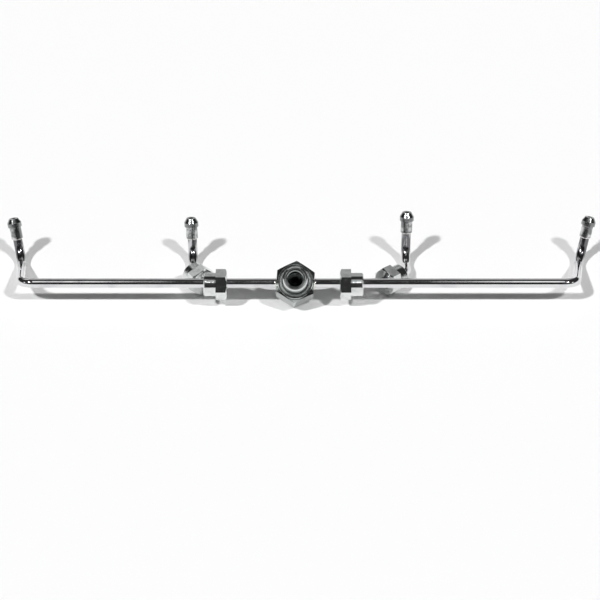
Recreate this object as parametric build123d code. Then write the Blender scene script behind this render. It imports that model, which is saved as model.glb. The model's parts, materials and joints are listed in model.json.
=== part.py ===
from build123d import *

# Fuel rail: a hexagonal inlet body feeds four bent tubes, two on each side. Each tube runs out along the
# rail, turns back at a corner, slopes down to an elbow and turns up into a post. A coned nipple is brazed
# on the end of each post, and a loose union nut hangs on each tube.
#
# Millimetres. X runs along the rail, Y runs back from the inlet, +Z is up. The rail lies as it comes to
# rest: on the lowest corner of the inlet body and on the undersides of the two outer elbows. The origin is
# the middle of its footprint, on the surface it lies on.

import os
from dataclasses import dataclass
from math import cos, radians, sin, tan

# Tubes
TUBE_DIAMETER = 6.0
TUBE_WALL = 1.0
BRAZE_CLEARANCE = 0.05
CORNER_RADIUS = 9.0
ELBOW_RADIUS = 12.0

# The inner tubes step back and down beside the body, so that the union nuts on the outer tubes can turn.
STEP_START = 17.0
STEP_END = 25.5
STEP_RADIUS = 8.0
STEP_BACK = 11.4
STEP_DOWN = 7.2
LEFT_INNER_CORNER_RADIUS = 18.0
RIGHT_INNER_CORNER_RADIUS = 28.0
INNER_ELBOW_LIFT = 0.3

# Inlet body: hexagon bar, tilted up towards the supply line, and turned a little on its own axis
BODY_ACROSS_FLATS = 24.0
BODY_LENGTH = 17.0
BODY_TILT = 45.0
BODY_TURN = -4.0
BODY_FACE_DIAMETER = 22.2
HEXAGON_CHAMFER_ANGLE = 30.0
OUTER_TUBE_DEPTH = 4.9
TUBE_GAP = 0.5
SOCKET_DEPTH = 5.5
SOCKET_RUN_OUT = 1.0

# Inlet thread, M16 x 1.5, left as its outer cylinder, with the cone seat and gallery inside it
SPIGOT_DIAMETER = 16.0
SPIGOT_LENGTH = 8.0
SPIGOT_CHAMFER = 0.9
SPIGOT_ROOT = 1.0
RELIEF_DIAMETER = 14.0
RELIEF_LENGTH = 1.3
RELIEF_CONE_LENGTH = 0.5
INLET_BORE = 9.6
INLET_BORE_DEPTH = 6.5
RIM_CHAMFER = 0.5
SEAT_HALF_ANGLE = 30.0
GALLERY_DIAMETER = 5.0
GALLERY_OVERRUN = 2.2
DRILL_HALF_ANGLE = 59.0

# Nipple: a long tail over the end of the post, and a head with a cone that seals in the port
NIPPLE_TAIL_DIAMETER = 7.5
NIPPLE_TAIL_LENGTH = 8.0
NIPPLE_HEAD_DIAMETER = 9.2
NIPPLE_HEAD_LENGTH = 2.7
NIPPLE_CONE_LENGTH = 2.8
NIPPLE_CONE_HALF_ANGLE = 30.0
NIPPLE_BORE = 3.0
NIPPLE_SOCKET_DEPTH = 9.5

# Union nut, M12 x 1.5: a hexagon at the back, a round skirt at the mouth
NUT_ACROSS_FLATS = 17.0
NUT_FACE_DIAMETER = 16.5
NUT_HEXAGON_LENGTH = 7.1
NUT_SKIRT_DIAMETER = 15.0
NUT_SKIRT_LENGTH = 7.7
NUT_REAR_BORE = 8.2
NUT_WEB = 2.5
NUT_THREAD_BORE = 10.4
NUT_MOUTH_DIAMETER = 12.2
NUT_SKIRT_CHAMFER = 0.6
NUT_REST_CLEARANCE = 0.1

# Where each outer nut's rear face is, from the flat of the inlet body
LEFT_NUT_FROM_BODY = 31.6
RIGHT_NUT_FROM_BODY = 16.5

# Braze fillets
BODY_BRAZE = 1.25
NIPPLE_BRAZE = 0.7
BRAZE_BITE = 0.3


@dataclass
class NutOnBend:
    """How an inner nut lies across its corner, with angles in degrees.

    angle is where its rear face is round the bend, and turn where its axis points, both from the rail. tip
    lifts the axis out of the plane of the bend, and roll turns the nut on its axis. Its rear face is outset
    from the tube's centre line, away from the bend's centre, and drops below it.
    """

    angle: float
    turn: float
    tip: float
    roll: float
    outset: float
    drop: float


@dataclass
class Branch:
    """One tube. Angles are in degrees, and each length is taken where centre lines would cross.

    nut is the distance from the inlet body to the nut on an outer tube, and a NutOnBend on an inner one.
    """

    name: str
    side: int
    inner: bool
    reach: float
    splay: float
    slope: float
    post: float
    lean: float
    corner_radius: float
    nut: float | NutOnBend


BRANCHES = (
    Branch(
        "left_outer", -1, False, 175.6, splay=6.0, slope=18.5, post=30.0, lean=7.5,
        corner_radius=CORNER_RADIUS, nut=LEFT_NUT_FROM_BODY,
    ),
    Branch(
        "left_inner", -1, True, 67.5, splay=0.0, slope=13.5, post=30.0, lean=2.5,
        corner_radius=LEFT_INNER_CORNER_RADIUS,
        nut=NutOnBend(angle=31.67, turn=57.96, tip=9.87, roll=-20.2, outset=0.106, drop=0.628),
    ),
    Branch(
        "right_inner", 1, True, 72.8, splay=0.0, slope=13.5, post=34.0, lean=1.0,
        corner_radius=RIGHT_INNER_CORNER_RADIUS,
        nut=NutOnBend(angle=26.96, turn=43.71, tip=6.38, roll=14.0, outset=0.238, drop=0.649),
    ),
    Branch(
        "right_outer", 1, False, 179.4, splay=8.8, slope=18.5, post=31.5, lean=9.0,
        corner_radius=CORNER_RADIUS, nut=RIGHT_NUT_FROM_BODY,
    ),
)

# Worked out from the sizes above
TUBE_BORE = TUBE_DIAMETER - 2 * TUBE_WALL
TUBE_PITCH = TUBE_DIAMETER + TUBE_GAP
SOCKET_DIAMETER = TUBE_DIAMETER + 2 * BRAZE_CLEARANCE
NIPPLE_LENGTH = NIPPLE_TAIL_LENGTH + NIPPLE_HEAD_LENGTH + NIPPLE_CONE_LENGTH
NUT_LENGTH = NUT_HEXAGON_LENGTH + NUT_SKIRT_LENGTH
BODY_CORNER = BODY_ACROSS_FLATS / 2 / cos(radians(30))
BODY_REAR = OUTER_TUBE_DEPTH - BODY_LENGTH
LOWEST_CORNER = BODY_CORNER * cos(radians(BODY_TURN)) * cos(radians(BODY_TILT))
RAIL_HEIGHT = LOWEST_CORNER - BODY_REAR * sin(radians(BODY_TILT))

UP = Vector(0, 0, 1)
INLET_AXIS = Vector(0, -cos(radians(BODY_TILT)), sin(radians(BODY_TILT)))
RAIL_CENTRE = Vector(0, 0, RAIL_HEIGHT)
INNER_ENTRY = RAIL_CENTRE - INLET_AXIS * TUBE_PITCH
INLET_PLANE = Plane(origin=RAIL_CENTRE, x_dir=(1, 0, 0), z_dir=INLET_AXIS)
FLAT_DIRECTION = (
    INLET_PLANE.x_dir * cos(radians(BODY_TURN)) + INLET_PLANE.y_dir * sin(radians(BODY_TURN))
)


def revolved(*points):
    """Turn a closed outline of (radius, height) points about Z."""
    return revolve(Plane.XZ * make_face(Polyline(*points, close=True)), Axis.Z)


def hexagon(across_flats, length):
    """A hexagon prism on the XY plane, with two of its flats square to X."""
    return extrude(RegularPolygon(across_flats / 2, 6, major_radius=False, rotation=30), length)


def chamfered_hexagon(across_flats, length, face_diameter):
    """A hexagon prism whose corners are turned off at its far end, down to face_diameter."""
    corner = across_flats / 2 / cos(radians(30))
    drop = (corner - face_diameter / 2) * tan(radians(HEXAGON_CHAMFER_ANGLE))
    turned = revolved(
        (0, 0),
        (corner, 0),
        (corner, length - drop),
        (face_diameter / 2, length),
        (0, length),
    )
    return hexagon(across_flats, length) & turned


def fillet_ring(radius, size, bite=0.0):
    """A braze fillet on the XY plane, round a tube that stands on it, and bite deep into that tube."""
    inner = radius - bite
    outline = Line((inner, 0), (radius + size, 0)) + RadiusArc((radius + size, 0), (radius, size), size)
    if bite:
        outline += Line((radius, size), (inner, size))
    outline += Line((inner, size), (inner, 0))
    return revolve(Plane.XZ * make_face(outline), Axis.Z)


class Route:
    """The centre line of one tube, from its socket in the body to its end inside the nipple."""

    def __init__(self, branch):
        self.branch = branch
        along = Vector(branch.side, 0, 0)
        slope, splay = radians(branch.slope), radians(branch.splay)
        entry = INNER_ENTRY if branch.inner else RAIL_CENTRE
        run = RAIL_CENTRE + Vector(0, STEP_BACK, -STEP_DOWN) if branch.inner else RAIL_CENTRE
        lift = INNER_ELBOW_LIFT if branch.inner else 0.0

        self.rail_direction = along
        self.corner = run + along * branch.reach
        self.down = Vector(along.X * sin(splay) * cos(slope), cos(splay) * cos(slope), -sin(slope))

        # The elbow is a right angle, and the lowest point of its arc is above where its two runs cross.
        arc_rise = ELBOW_RADIUS * (sin(slope) + cos(slope) - 1)
        elbow_height = TUBE_DIAMETER / 2 + lift - arc_rise
        self.elbow = self.corner + self.down * ((self.corner.Z - elbow_height) / sin(slope))

        across = Vector(branch.side * cos(splay), -sin(splay), 0)
        self.upright = Vector(branch.side * sin(splay) * sin(slope), cos(splay) * sin(slope), cos(slope))
        lean = radians(branch.lean)
        self.up = (self.upright * cos(lean) + across * sin(lean)).normalized()
        self.tip = self.elbow + self.up * branch.post

        start = entry + along * (BODY_ACROSS_FLATS / 2 - SOCKET_DEPTH)
        end = self.tip - self.up * (NIPPLE_LENGTH - NIPPLE_SOCKET_DEPTH)
        if branch.inner:
            step = (entry + along * STEP_START, run + along * STEP_END)
            self.points = (start, *step, self.corner, self.elbow, end)
            self.radii = (STEP_RADIUS, STEP_RADIUS, branch.corner_radius, ELBOW_RADIUS)
        else:
            self.points = (start, self.corner, self.elbow, end)
            self.radii = (branch.corner_radius, ELBOW_RADIUS)


def make_inlet_body():
    """Hexagon bar with the threaded spigot in front, one gallery, and a socket for each tube."""
    bar = chamfered_hexagon(BODY_ACROSS_FLATS, BODY_LENGTH, BODY_FACE_DIAMETER)
    body = Pos(0, 0, BODY_REAR) * Rot(0, 0, BODY_TURN) * bar

    face = OUTER_TUBE_DEPTH
    end = face + SPIGOT_LENGTH
    spigot = revolved(
        (0, face - SPIGOT_ROOT),
        (RELIEF_DIAMETER / 2, face - SPIGOT_ROOT),
        (RELIEF_DIAMETER / 2, face + RELIEF_LENGTH),
        (SPIGOT_DIAMETER / 2, face + RELIEF_LENGTH + RELIEF_CONE_LENGTH),
        (SPIGOT_DIAMETER / 2, end - SPIGOT_CHAMFER),
        (SPIGOT_DIAMETER / 2 - SPIGOT_CHAMFER, end),
        (0, end),
    )

    seat_depth = (INLET_BORE - GALLERY_DIAMETER) / 2 / tan(radians(SEAT_HALF_ANGLE))
    seat_top = end - INLET_BORE_DEPTH
    gallery_end = -TUBE_PITCH - GALLERY_OVERRUN
    drill_point = GALLERY_DIAMETER / 2 / tan(radians(DRILL_HALF_ANGLE))
    bore = revolved(
        (0, gallery_end - drill_point),
        (GALLERY_DIAMETER / 2, gallery_end),
        (GALLERY_DIAMETER / 2, seat_top - seat_depth),
        (INLET_BORE / 2, seat_top),
        (INLET_BORE / 2, end - RIM_CHAMFER),
        (INLET_BORE / 2 + RIM_CHAMFER, end),
        (0, end),
    )

    drillings = []
    for depth in (0, -TUBE_PITCH):
        passage = Rot(0, 90, 0) * Cylinder(TUBE_BORE / 2, BODY_ACROSS_FLATS)
        drillings.append(Pos(0, 0, depth) * passage)
        for side in (-1, 1):
            socket = Rot(0, 90, 0) * Cylinder(SOCKET_DIAMETER / 2, SOCKET_DEPTH + SOCKET_RUN_OUT)
            middle = (BODY_ACROSS_FLATS - SOCKET_DEPTH + SOCKET_RUN_OUT) / 2
            drillings.append(Pos(side * middle, 0, depth) * socket)
    return INLET_PLANE.location * (body + spigot - bore - drillings)


def make_tube(route):
    """A bent tube, open at both ends."""
    path = FilletPolyline(*route.points, radius=route.radii)
    section = Circle(TUBE_DIAMETER / 2) - Circle(TUBE_BORE / 2)
    return sweep(Plane(origin=path @ 0, z_dir=path % 0) * section, path=path)


def make_nipple(route):
    """The coned nipple on the end of a post."""
    shoulder = NIPPLE_TAIL_LENGTH + NIPPLE_HEAD_LENGTH
    tip_radius = NIPPLE_HEAD_DIAMETER / 2 - NIPPLE_CONE_LENGTH * tan(radians(NIPPLE_CONE_HALF_ANGLE))
    nipple = revolved(
        (SOCKET_DIAMETER / 2, 0),
        (NIPPLE_TAIL_DIAMETER / 2, 0),
        (NIPPLE_TAIL_DIAMETER / 2, NIPPLE_TAIL_LENGTH),
        (NIPPLE_HEAD_DIAMETER / 2, NIPPLE_TAIL_LENGTH),
        (NIPPLE_HEAD_DIAMETER / 2, shoulder),
        (tip_radius, NIPPLE_LENGTH),
        (NIPPLE_BORE / 2, NIPPLE_LENGTH),
        (NIPPLE_BORE / 2, NIPPLE_SOCKET_DEPTH),
        (SOCKET_DIAMETER / 2, NIPPLE_SOCKET_DEPTH),
    )
    return nipple_plane(route).location * nipple


def nipple_plane(route):
    """The plane at the rear of a nipple, facing its tip."""
    return Plane(origin=route.tip - route.up * NIPPLE_LENGTH, z_dir=route.up)


def make_nipple_braze(route):
    """The braze ring between a post and the rear of its nipple."""
    ring = mirror(fillet_ring(TUBE_DIAMETER / 2, NIPPLE_BRAZE), Plane.XY)
    return nipple_plane(route).location * ring


def make_body_braze(side):
    """The braze round both tubes where they enter one flat of the inlet body."""
    along = Vector(side, 0, 0)
    rings = []
    tubes = []
    for entry in (RAIL_CENTRE, INNER_ENTRY):
        root = entry + along * (BODY_ACROSS_FLATS / 2 / cos(radians(BODY_TURN)))
        flat = Plane(origin=root, z_dir=FLAT_DIRECTION * side)
        rings.append(flat.location * fillet_ring(TUBE_DIAMETER / 2, BODY_BRAZE, BRAZE_BITE))
        tube = Cylinder(TUBE_DIAMETER / 2, BODY_ACROSS_FLATS)
        tubes.append(Plane(origin=root, z_dir=along).location * tube)
    return rings[0] + rings[1] - tubes


def nut_plane(route):
    """The plane at the rear face of a nut, facing its mouth, with its X square to a flat."""
    branch, along, down, upright = route.branch, route.rail_direction, route.down, route.upright
    if not branch.inner:
        drop = (NUT_REAR_BORE - TUBE_DIAMETER) / 2 - NUT_REST_CLEARANCE
        centre = RAIL_CENTRE + along * (BODY_ACROSS_FLATS / 2 + branch.nut) - UP * drop
        return Plane(origin=centre, x_dir=UP, z_dir=along)

    pose = branch.nut
    angle, turn, tip, roll = (radians(v) for v in (pose.angle, pose.turn, pose.tip, pose.roll))
    bend_centre = route.corner + (down - along) * branch.corner_radius
    spoke = along * sin(angle) - down * cos(angle)
    centre = bend_centre + spoke * (branch.corner_radius + pose.outset) - upright * pose.drop
    axis = (along * cos(turn) + down * sin(turn)) * cos(tip) + upright * sin(tip)
    level = axis.cross(UP).normalized()
    flat = level.cross(axis) * cos(roll) + level * sin(roll)
    return Plane(origin=centre, x_dir=flat, z_dir=axis)


def make_nut(route):
    """A union nut: chamfered hexagon, round skirt, and the threaded bore at the minor diameter."""
    hexagon_part = chamfered_hexagon(NUT_ACROSS_FLATS, NUT_HEXAGON_LENGTH, NUT_FACE_DIAMETER)
    hexagon_part = Pos(0, 0, NUT_HEXAGON_LENGTH) * mirror(hexagon_part, Plane.XY)
    skirt = revolved(
        (0, NUT_HEXAGON_LENGTH),
        (NUT_SKIRT_DIAMETER / 2, NUT_HEXAGON_LENGTH),
        (NUT_SKIRT_DIAMETER / 2, NUT_LENGTH - NUT_SKIRT_CHAMFER),
        (NUT_SKIRT_DIAMETER / 2 - NUT_SKIRT_CHAMFER, NUT_LENGTH),
        (0, NUT_LENGTH),
    )
    seat = (NUT_THREAD_BORE - NUT_REAR_BORE) / 2
    mouth = (NUT_MOUTH_DIAMETER - NUT_THREAD_BORE) / 2
    bore = revolved(
        (0, 0),
        (NUT_REAR_BORE / 2, 0),
        (NUT_REAR_BORE / 2, NUT_WEB),
        (NUT_THREAD_BORE / 2, NUT_WEB + seat),
        (NUT_THREAD_BORE / 2, NUT_LENGTH - mouth),
        (NUT_MOUTH_DIAMETER / 2, NUT_LENGTH),
        (0, NUT_LENGTH),
    )
    return nut_plane(route).location * (hexagon_part + skirt - bore)


def make_pieces():
    """Every piece by its node name."""
    pieces = {
        "inlet_body": make_inlet_body(),
        "braze_left": make_body_braze(-1),
        "braze_right": make_body_braze(1),
    }
    for branch in BRANCHES:
        route = Route(branch)
        pieces[f"tube_{branch.name}"] = make_tube(route)
        pieces[f"nipple_{branch.name}"] = make_nipple(route)
        pieces[f"nipple_braze_{branch.name}"] = make_nipple_braze(route)
        pieces[f"nut_{branch.name}"] = make_nut(route)
    return pieces


def set_down(pieces):
    """The move that puts the middle of the footprint at the origin."""
    boxes = [piece.bounding_box() for piece in pieces.values()]
    middle_x = (min(box.min.X for box in boxes) + max(box.max.X for box in boxes)) / 2
    middle_y = (min(box.min.Y for box in boxes) + max(box.max.Y for box in boxes)) / 2
    return Pos(-middle_x, -middle_y, -min(box.min.Z for box in boxes))


def main():
    pieces = make_pieces()
    move = set_down(pieces)
    os.makedirs("parts", exist_ok=True)
    for name, piece in pieces.items():
        export_step(move * piece, f"parts/{name}.step")


main()
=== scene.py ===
import json
import math

import bpy
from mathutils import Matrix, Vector


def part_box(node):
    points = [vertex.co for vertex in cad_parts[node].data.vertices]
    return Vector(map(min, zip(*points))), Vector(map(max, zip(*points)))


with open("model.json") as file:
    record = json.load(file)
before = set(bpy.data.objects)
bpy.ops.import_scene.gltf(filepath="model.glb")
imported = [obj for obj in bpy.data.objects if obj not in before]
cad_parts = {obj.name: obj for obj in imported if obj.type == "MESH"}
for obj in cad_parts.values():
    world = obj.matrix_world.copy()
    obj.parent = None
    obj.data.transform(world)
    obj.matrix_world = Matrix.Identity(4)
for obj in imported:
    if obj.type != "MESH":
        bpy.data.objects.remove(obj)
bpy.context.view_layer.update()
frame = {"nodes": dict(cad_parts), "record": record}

nodes = frame["nodes"]
record = frame["record"]

# ---- Tubes -----------------------------------------------------------------------------------------------
# Cold-drawn steel tube, bent on a small former, brazed, and bright zinc plated. The plate is close to a
# mirror, with faint draw lines. From each nipple down to just above the elbow it is rougher, and its colour
# there is a painted dark reflection with pale streaks.


class Value:
    """A shader socket that can be added, multiplied and so on. Each operator adds one Math node."""

    def __init__(self, finish, socket):
        self.finish = finish
        self.socket = socket

    def math(self, operation, first, second=0.0):
        return self.finish.add("ShaderNodeMath", {"operation": operation}, Value=first, Value_001=second)

    def __add__(self, other):
        return self.math("ADD", self, other)

    def __radd__(self, other):
        return self.math("ADD", other, self)

    def __sub__(self, other):
        return self.math("SUBTRACT", self, other)

    def __rsub__(self, other):
        return self.math("SUBTRACT", other, self)

    def __mul__(self, other):
        return self.math("MULTIPLY", self, other)

    def __rmul__(self, other):
        return self.math("MULTIPLY", other, self)

    def __abs__(self):
        return self.math("ABSOLUTE", self)

    def step(self, low, high):
        """0 below low, 1 above high, and smooth between them."""
        return self.finish.add(
            "ShaderNodeMapRange", {"interpolation_type": "SMOOTHSTEP"},
            Value=self, From_Min=low, From_Max=high)


class Finish:
    """A material, or the world, and the one method that adds its nodes."""

    def __init__(self, owner):
        owner.use_nodes = True
        self.owner = owner
        self.tree = owner.node_tree
        self.tree.nodes.clear()

    def add(self, kind, settings=None, output=0, **values):
        """Add a node, link or set its inputs, and return one of its outputs."""
        node = self.tree.nodes.new(kind)
        for name, value in (settings or {}).items():
            setattr(node, name, value)
        sockets = {socket.identifier.replace(" ", "_"): socket for socket in node.inputs}
        for name, value in values.items():
            if isinstance(value, Value):
                self.tree.links.new(value.socket, sockets[name])
            else:
                sockets[name].default_value = value
        return Value(self, node.outputs[output]) if node.outputs else None

    def noise(self, place, scale, detail):
        return self.add("ShaderNodeTexNoise", Vector=place, Scale=scale, Detail=detail)

    def stretch(self, place, scale):
        return self.add("ShaderNodeMapping", Vector=place, Scale=scale)

    def blend(self, factor, first, second):
        return self.add(
            "ShaderNodeMix", {"data_type": "RGBA"}, output=2,
            Factor_Float=factor, A_Color=first, B_Color=second)

    def dot(self, place, direction):
        return self.add(
            "ShaderNodeVectorMath", {"operation": "DOT_PRODUCT"}, output="Value",
            Vector=place, Vector_001=direction)

    def plate(self, colour, roughness, height, depth):
        """Bare or plated metal, with marks as deep as depth where height is 1."""
        bump = self.add("ShaderNodeBump", Height=height, Strength=1.0, Distance=depth)
        shader = self.add(
            "ShaderNodeBsdfPrincipled", Base_Color=colour, Metallic=1.0, Roughness=roughness, Normal=bump)
        self.add("ShaderNodeOutputMaterial", Surface=shader)
        return self.owner


sharp_corner = math.radians(28)


def dress(name, material):
    """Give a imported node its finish, with round faces smooth and corners sharp."""
    piece = nodes[name]
    piece.data.materials.clear()
    piece.data.materials.append(material)
    bpy.ops.object.select_all(action="DESELECT")
    piece.select_set(True)
    bpy.context.view_layer.objects.active = piece
    bpy.ops.object.shade_smooth_by_angle(angle=sharp_corner)


# An edge, here and below, is the pair of values between which a mask goes from 0 to 1. A dulling is how much
# rougher the metal is where its mask is 1, and a share is a part of the bump's whole depth.
MM = 0.001
mounts = {mount["name"]: mount for mount in record["mounts"]}
branches = ("left_outer", "left_inner", "right_inner", "right_outer")
tube_colour = (0.74, 0.74, 0.75, 1)
tube_cloud = (0.60, 0.60, 0.62, 1)
tube_cloud_scale = 70.0
tube_cloud_edge = (0.45, 0.75)
tube_roughness = 0.07
tube_dulling = 0.08
dulling_edge = (0.4, 0.7)
draw_line_scale = 900.0
draw_line_stretch = (0.12, 1, 1)
draw_line_depth = 0.012 * MM
tube_dent_share = 0.5
# The next values set a painted dark reflection with pale streaks on each post, from the nipple down to just
# above the elbow, and make it rougher there.
painted_reflection_dark = (0.17, 0.17, 0.18, 1)
reflection_zone_dulling = 0.08
reflection_zone_end = 25.5 * MM
reflection_zone_start = 20.5 * MM
behind_run_edge = (0.0, 10.0 * MM)
streak_scale = 420.0
streak_stretch = (1, 0.4, 0.15)
streak_edge = (0.50, 0.66)


def drawn_tube(branch):
    """Bright plate, with a painted dark reflection, streaked pale and rougher, from the nipple down to just
    above the elbow.
    """
    head = mounts[f"nipple_head_{branch}"]
    axis = Vector(head["axis"])
    finish = Finish(bpy.data.materials.new(f"drawn_tube_{branch}"))
    place = finish.add("ShaderNodeTexCoord", output="Object")
    height = finish.dot(place, axis) - axis.dot(Vector(head["pos_m"]))
    back = finish.add("ShaderNodeSeparateXYZ", output="Y", Vector=place)
    # Mask of the painted dark reflection: from the nipple down to just above the elbow, and only towards the
    # back.
    painted_reflection_zone = height.step(-reflection_zone_end, -reflection_zone_start) * back.step(*behind_run_edge)
    lengthways = finish.stretch(place, draw_line_stretch)
    clouds = finish.noise(place, tube_cloud_scale, detail=4.0)
    marks = finish.noise(lengthways, draw_line_scale, detail=3.0)
    streaks = finish.noise(finish.stretch(place, streak_stretch), streak_scale, detail=3.0)
    clean = finish.blend(clouds.step(*tube_cloud_edge), tube_colour, tube_cloud)
    painted_reflection_colour = finish.blend(streaks.step(*streak_edge), painted_reflection_dark, tube_cloud)
    roughness = tube_roughness + tube_dulling * clouds.step(*dulling_edge) + reflection_zone_dulling * painted_reflection_zone
    return finish.plate(
        finish.blend(painted_reflection_zone, clean, painted_reflection_colour), roughness, marks + tube_dent_share * clouds, draw_line_depth)


for branch in branches:
    dress(f"tube_{branch}", drawn_tube(branch))

# ---- Inlet body ------------------------------------------------------------------------------------------
# One piece of hexagon bar, faced and chamfered in the lathe, with a rolled male thread and a cone seat for
# the supply line. The tubes are brazed into its two upright flats.

# The two ring colours are a painted reflection: pale and dark rings round the axis on the turned parts
# inside the flats.
reflection_ring_pale = (0.74, 0.77, 0.76, 1)
reflection_ring_dark = (0.20, 0.22, 0.21, 1)
ring_scale = 650.0
ring_edge = (0.44, 0.56)
body_colour = (0.42, 0.45, 0.44, 1)
body_cloud = (0.26, 0.29, 0.28, 1)
body_cloud_scale = 140.0
cloud_edge = (0.42, 0.70)
body_roughness = 0.11
body_dulling = 0.10
body_flat_edge = (11.95 * MM, 12.0 * MM)
thread_pitch = 1.5 * MM
thread_depth = 0.45 * MM
thread_root_edge = (7.0 * MM, 7.4 * MM)
thread_run_out = 0.3 * MM
groove_scale = 4200.0
groove_slant = 1.4
body_groove_share = 0.022
body_dent_share = 0.10


class Turned(Finish):
    """A finish on a turned piece, which knows how far along its axis and how far from it each point lies."""

    def __init__(self, name, origin, axis):
        super().__init__(bpy.data.materials.new(name))
        self.axis = Vector(axis)
        self.place = self.add("ShaderNodeTexCoord", output="Object")
        self.arm = self.add(
            "ShaderNodeVectorMath", {"operation": "SUBTRACT"}, Vector=self.place, Vector_001=Vector(origin))
        around = self.add(
            "ShaderNodeVectorMath", {"operation": "CROSS_PRODUCT"}, Vector=self.arm, Vector_001=self.axis)
        self.along = self.dot(self.arm, self.axis)
        self.radius = self.add(
            "ShaderNodeVectorMath", {"operation": "LENGTH"}, output="Value", Vector=around)

    def grooves(self, scale=groove_scale):
        """Tool marks as bumps, round the axis on a cylinder and in rings on a face. On the inlet body the
        same pattern also sets the painted reflection rings.

        The slant isn't 1, so that they don't vanish on a 45° chamfer, where both distances change alike.
        """
        return self.add(
            "ShaderNodeTexNoise", {"noise_dimensions": "1D"}, W=self.along + groove_slant * self.radius,
            Scale=scale, Detail=2.0)

    def thread(self):
        """A screw thread's profile, from 0 at the root to 1 at the crest."""
        level = self.axis.orthogonal().normalized()
        upright = self.axis.cross(level)
        turn = self.along.math("ARCTAN2", self.dot(self.arm, upright), self.dot(self.arm, level))
        return turn.math("PINGPONG", self.along * (2 / thread_pitch) + turn * (1 / math.pi), 1.0)


thread = mounts["inlet_thread"]
thread_half = thread["dims"]["length_mm"] / 2 * MM
body = Turned("machined_bar", thread["pos_m"], thread["axis"])
past_thread = abs(body.along).step(thread_half - thread_run_out, thread_half)
threaded = (1 - past_thread) * body.radius.step(*thread_root_edge)
flats = body.radius.step(*body_flat_edge)
clouds = body.noise(body.place, body_cloud_scale, detail=4.0)
# Painted reflection rings of pale and dark on the turned parts; the flats keep the bar colour with its
# clouds.
rings = body.blend(body.grooves(ring_scale).step(*ring_edge), reflection_ring_pale, reflection_ring_dark)
shade = body.blend(flats, rings, body.blend(clouds.step(*cloud_edge), body_colour, body_cloud))
marks = (body.grooves() * (1 - flats) * body_groove_share + clouds * flats * body_dent_share
         + body.thread() * threaded)
roughness = body_roughness + body_dulling * clouds.step(*dulling_edge)
dress("inlet_body", body.plate(shade, roughness, marks, thread_depth))

# ---- Braze -----------------------------------------------------------------------------------------------
# Fillets of silver braze where the tubes enter the inlet body, and rings of it that hold the nipples on the
# tubes. It wetted the steel, ran smooth, and was plated over with it.

braze_colour = (0.84, 0.83, 0.80, 1)
braze_cloud = (0.62, 0.60, 0.55, 1)
braze_roughness = 0.12
braze_dulling = 0.10
ripple_scale = 600.0
ripple_edge = (0.45, 0.65)
ripple_depth = 0.12 * MM
braze = Finish(bpy.data.materials.new("braze_fillet"))
ripples = braze.noise(braze.add("ShaderNodeTexCoord", output="Object"), ripple_scale, detail=3.0)
shade = braze.blend(ripples.step(*ripple_edge), braze_colour, braze_cloud)
braze.plate(shade, braze_roughness + braze_dulling * ripples, ripples, ripple_depth)
for name in nodes:
    if "braze" in name:
        dress(name, braze.owner)

# ---- Nipples ---------------------------------------------------------------------------------------------
# Turned steel, brazed on the ends of the posts. Its dark colour is a painted dark reflection, with pale
# spots that are fainter on the head. The cone seals in the port.

# The dark nipple colour below is a painted dark reflection, and head_darkening fades the pale spots on the
# head.
nipple_painted_dark = (0.24, 0.25, 0.25, 1)
nipple_cloud = (0.62, 0.63, 0.63, 1)
nipple_cloud_scale = 260.0
nipple_cloud_edge = (0.46, 0.62)
nipple_roughness = 0.14
nipple_dulling = 0.10
nipple_groove_depth = 0.022 * MM
head_edge = (-1.7 * MM, -1.4 * MM)
head_darkening = 0.8


def turned_nipple(branch):
    """A painted dark reflection, with pale spots that are faint on the head."""
    head = mounts[f"nipple_head_{branch}"]
    finish = Turned(f"turned_nipple_{branch}", head["pos_m"], head["axis"])
    clouds = finish.noise(finish.place, nipple_cloud_scale, detail=4.0)
    # Pale spots over the painted dark reflection, faded on the head.
    pale_spots = clouds.step(*nipple_cloud_edge) * (1 - head_darkening * finish.along.step(*head_edge))
    shade = finish.blend(pale_spots, nipple_painted_dark, nipple_cloud)
    roughness = nipple_roughness + nipple_dulling * clouds
    return finish.plate(shade, roughness, finish.grooves(), nipple_groove_depth)


for branch in branches:
    dress(f"nipple_{branch}", turned_nipple(branch))

# ---- Union nuts ------------------------------------------------------------------------------------------
# Turned from bright hexagon bar, with a round skirt and a female thread, and plated. They are loose on the
# tubes. The skirt keeps its tool marks, and the flats have none but are gently uneven.

nut_colour = (0.70, 0.72, 0.71, 1)
nut_cloud = (0.56, 0.58, 0.58, 1)
nut_cloud_scale = 160.0
nut_roughness = 0.12
nut_dulling = 0.08
nut_flat_edge = (8.4 * MM, 8.5 * MM)
nut_mouth_edge = (6.0 * MM, 6.2 * MM)
nut_thread_start = (7.0 * MM, 7.3 * MM)
nut_groove_share = 0.100
nut_dent_share = 0.10
speck_scale = 1400.0
speck_share = 0.1
joints = {joint["child"]: joint for joint in record["behaviour"]["joints"]}


def plated_nut(branch):
    """Bright plate: uneven flats, a grooved skirt, and the thread inside it."""
    joint = joints[f"union_nut_{branch}"]
    finish = Turned(f"plated_nut_{branch}", joint["pos_m"], joint["axis"])
    flats = finish.radius.step(*nut_flat_edge)
    inside = 1 - finish.radius.step(*nut_mouth_edge)
    threaded = inside * finish.along.step(*nut_thread_start)
    clouds = finish.noise(finish.place, nut_cloud_scale, detail=4.0)
    specks = finish.noise(finish.place, speck_scale, detail=2.0)
    shade = finish.blend(clouds.step(*cloud_edge), nut_colour, nut_cloud)
    grooves = finish.grooves() * (1 - flats) * nut_groove_share
    dents = (clouds + speck_share * specks) * flats * nut_dent_share
    marks = grooves + dents + finish.thread() * threaded
    roughness = nut_roughness + nut_dulling * clouds.step(*dulling_edge)
    return finish.plate(shade, roughness, marks, thread_depth)


for branch in branches:
    dress(f"nut_{branch}", plated_nut(branch))

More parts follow.
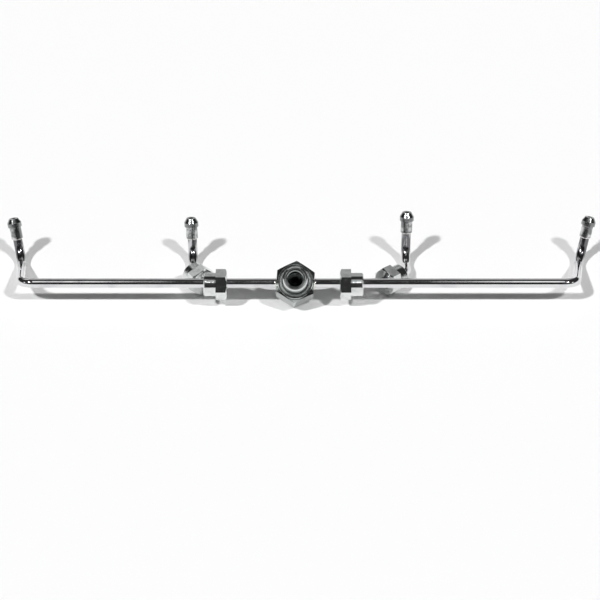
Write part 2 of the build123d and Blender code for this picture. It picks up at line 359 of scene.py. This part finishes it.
# ---- Table -----------------------------------------------------------------------------------------------
# A matt white sheet under the rail. It reaches far past the rail on every side, because the plated steel
# mirrors it.

sheet_size = 6.0
sheet_colour = (0.90, 0.90, 0.90, 1)
sheet_roughness = 0.9
bpy.ops.object.select_all(action="DESELECT")
bpy.ops.mesh.primitive_plane_add(size=sheet_size, location=(0, 0, 0))
sheet = bpy.context.active_object
sheet.name = "white_sheet"
paper = Finish(bpy.data.materials.new("white_paper"))
paper.add("ShaderNodeOutputMaterial", Surface=paper.add(
    "ShaderNodeBsdfPrincipled", Base_Color=sheet_colour, Roughness=sheet_roughness))
sheet.data.materials.append(paper.owner)

# ---- Room ------------------------------------------------------------------------------------------------
# A dim room, so that the plated steel shows dark bands over bright ones: a grey wall behind, a pale strip
# along the horizon at the back and the sides, two pale panels in front on each side, one high and one low,
# and one behind to the left.

# A tilt is in degrees, from 0 at the front horizon over the top to 180 at the back one. The other pairs are
# parts of a unit direction: across to the right, aside either way, away to the back, and up.
room_dark = 0.030
wall_grey = 0.42
wall_tilt = (114, 168)
wall_aside = (0.25, 0.42)
high_panel = 1.25
high_tilt = (48, 84)
high_aside = (0.06, 0.19)
low_panel = 1.20
low_tilt = (24, 62)
low_aside = (0.77, 0.90)
rear_panel = 0.60
rear_tilt = (116, 152)
rear_across = (-0.54, -0.26)
horizon_pale = 0.85
horizon_up = (0.10, 0.17)
horizon_away = (-0.5, -0.2)
world = bpy.data.worlds.new("studio")
bpy.context.scene.world = world
room = Finish(world)
direction = room.add("ShaderNodeTexCoord", output="Generated")
across, away, up = (
    room.add("ShaderNodeSeparateXYZ", output=name, Vector=direction) for name in ("X", "Y", "Z"))
tilt = up.math("ARCTAN2", up, 0 - away)
aside = abs(across)


def between(value, low, high, soft=0.04):
    """1 between low and high, falling to 0 at each within the soft width."""
    return value.step(low, low + soft) * (1 - value.step(high - soft, high))


def tilted(low, high, soft=8):
    """1 where the tilt lies between two angles, all in degrees."""
    return between(tilt, math.radians(low), math.radians(high), math.radians(soft))


high = tilted(*high_tilt) * between(aside, *high_aside)
low = tilted(*low_tilt) * between(aside, *low_aside)
wall = wall_grey * tilted(*wall_tilt, soft=10) * (1 - aside.step(*wall_aside))
rear = tilted(*rear_tilt) * between(across, *rear_across, soft=0.06)
strip = (1 - up.step(*horizon_up)) * away.step(*horizon_away)
panels = room_dark + high_panel * high + low_panel * low + rear_panel * rear
level = panels + wall + (horizon_pale - wall) * strip
room.add("ShaderNodeOutputWorld", Surface=room.add(
    "ShaderNodeBackground", Color=(1, 1, 1, 1), Strength=level))

# ---- Lamps -----------------------------------------------------------------------------------------------
# Two lamps, front left and front right, which give each piece two shadows that run back from it. The left
# lamp is the stronger, so the shadows that run to the right are the darker ones.

lamp_width = math.radians(4)
for name, strength, travel in (
    ("left_lamp", 2.52, (0.63, 0.71, -1.0)),
    ("right_lamp", 1.61, (-0.60, 0.69, -1.0)),
):
    light = bpy.data.lights.new(name, "SUN")
    light.energy = strength
    light.angle = lamp_width
    lamp = bpy.data.objects.new(name, light)
    lamp.rotation_euler = Vector(travel).to_track_quat("-Z", "Y").to_euler()
    bpy.context.scene.collection.objects.link(lamp)

# ---- Camera ----------------------------------------------------------------------------------------------
# A long lens, in front of the rail and above it. It looks a little below the point where the line of the
# outer tubes crosses the inlet body: a nut on an outer tube hangs just under that line.

camera_rise = math.radians(33)
camera_distance = 1404 * MM
camera_lens = 132.0
camera_sensor = 36.0
view_across = 3.0 * MM
view_below = 10.8 * MM
nut_hang = 1.0 * MM
body_low, body_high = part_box("inlet_body")
nut_low, nut_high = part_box("nut_left_outer")
rail_centre = Vector((
    (body_low.x + body_high.x) / 2,
    (nut_low.y + nut_high.y) / 2,
    (nut_low.z + nut_high.z) / 2 + nut_hang,
))
look = Vector((0, math.cos(camera_rise), -math.sin(camera_rise)))
frame_up = Vector((0, math.sin(camera_rise), math.cos(camera_rise)))
target = rail_centre + Vector((view_across, 0, 0)) - frame_up * view_below
lens = bpy.data.cameras.new("camera")
lens.lens = camera_lens
lens.sensor_width = camera_sensor
camera = bpy.data.objects.new("camera", lens)
camera.location = target - look * camera_distance
camera.rotation_euler = look.to_track_quat("-Z", "Y").to_euler()
bpy.context.scene.collection.objects.link(camera)
bpy.context.scene.camera = camera
bpy.context.scene.view_settings.view_transform = "Standard"
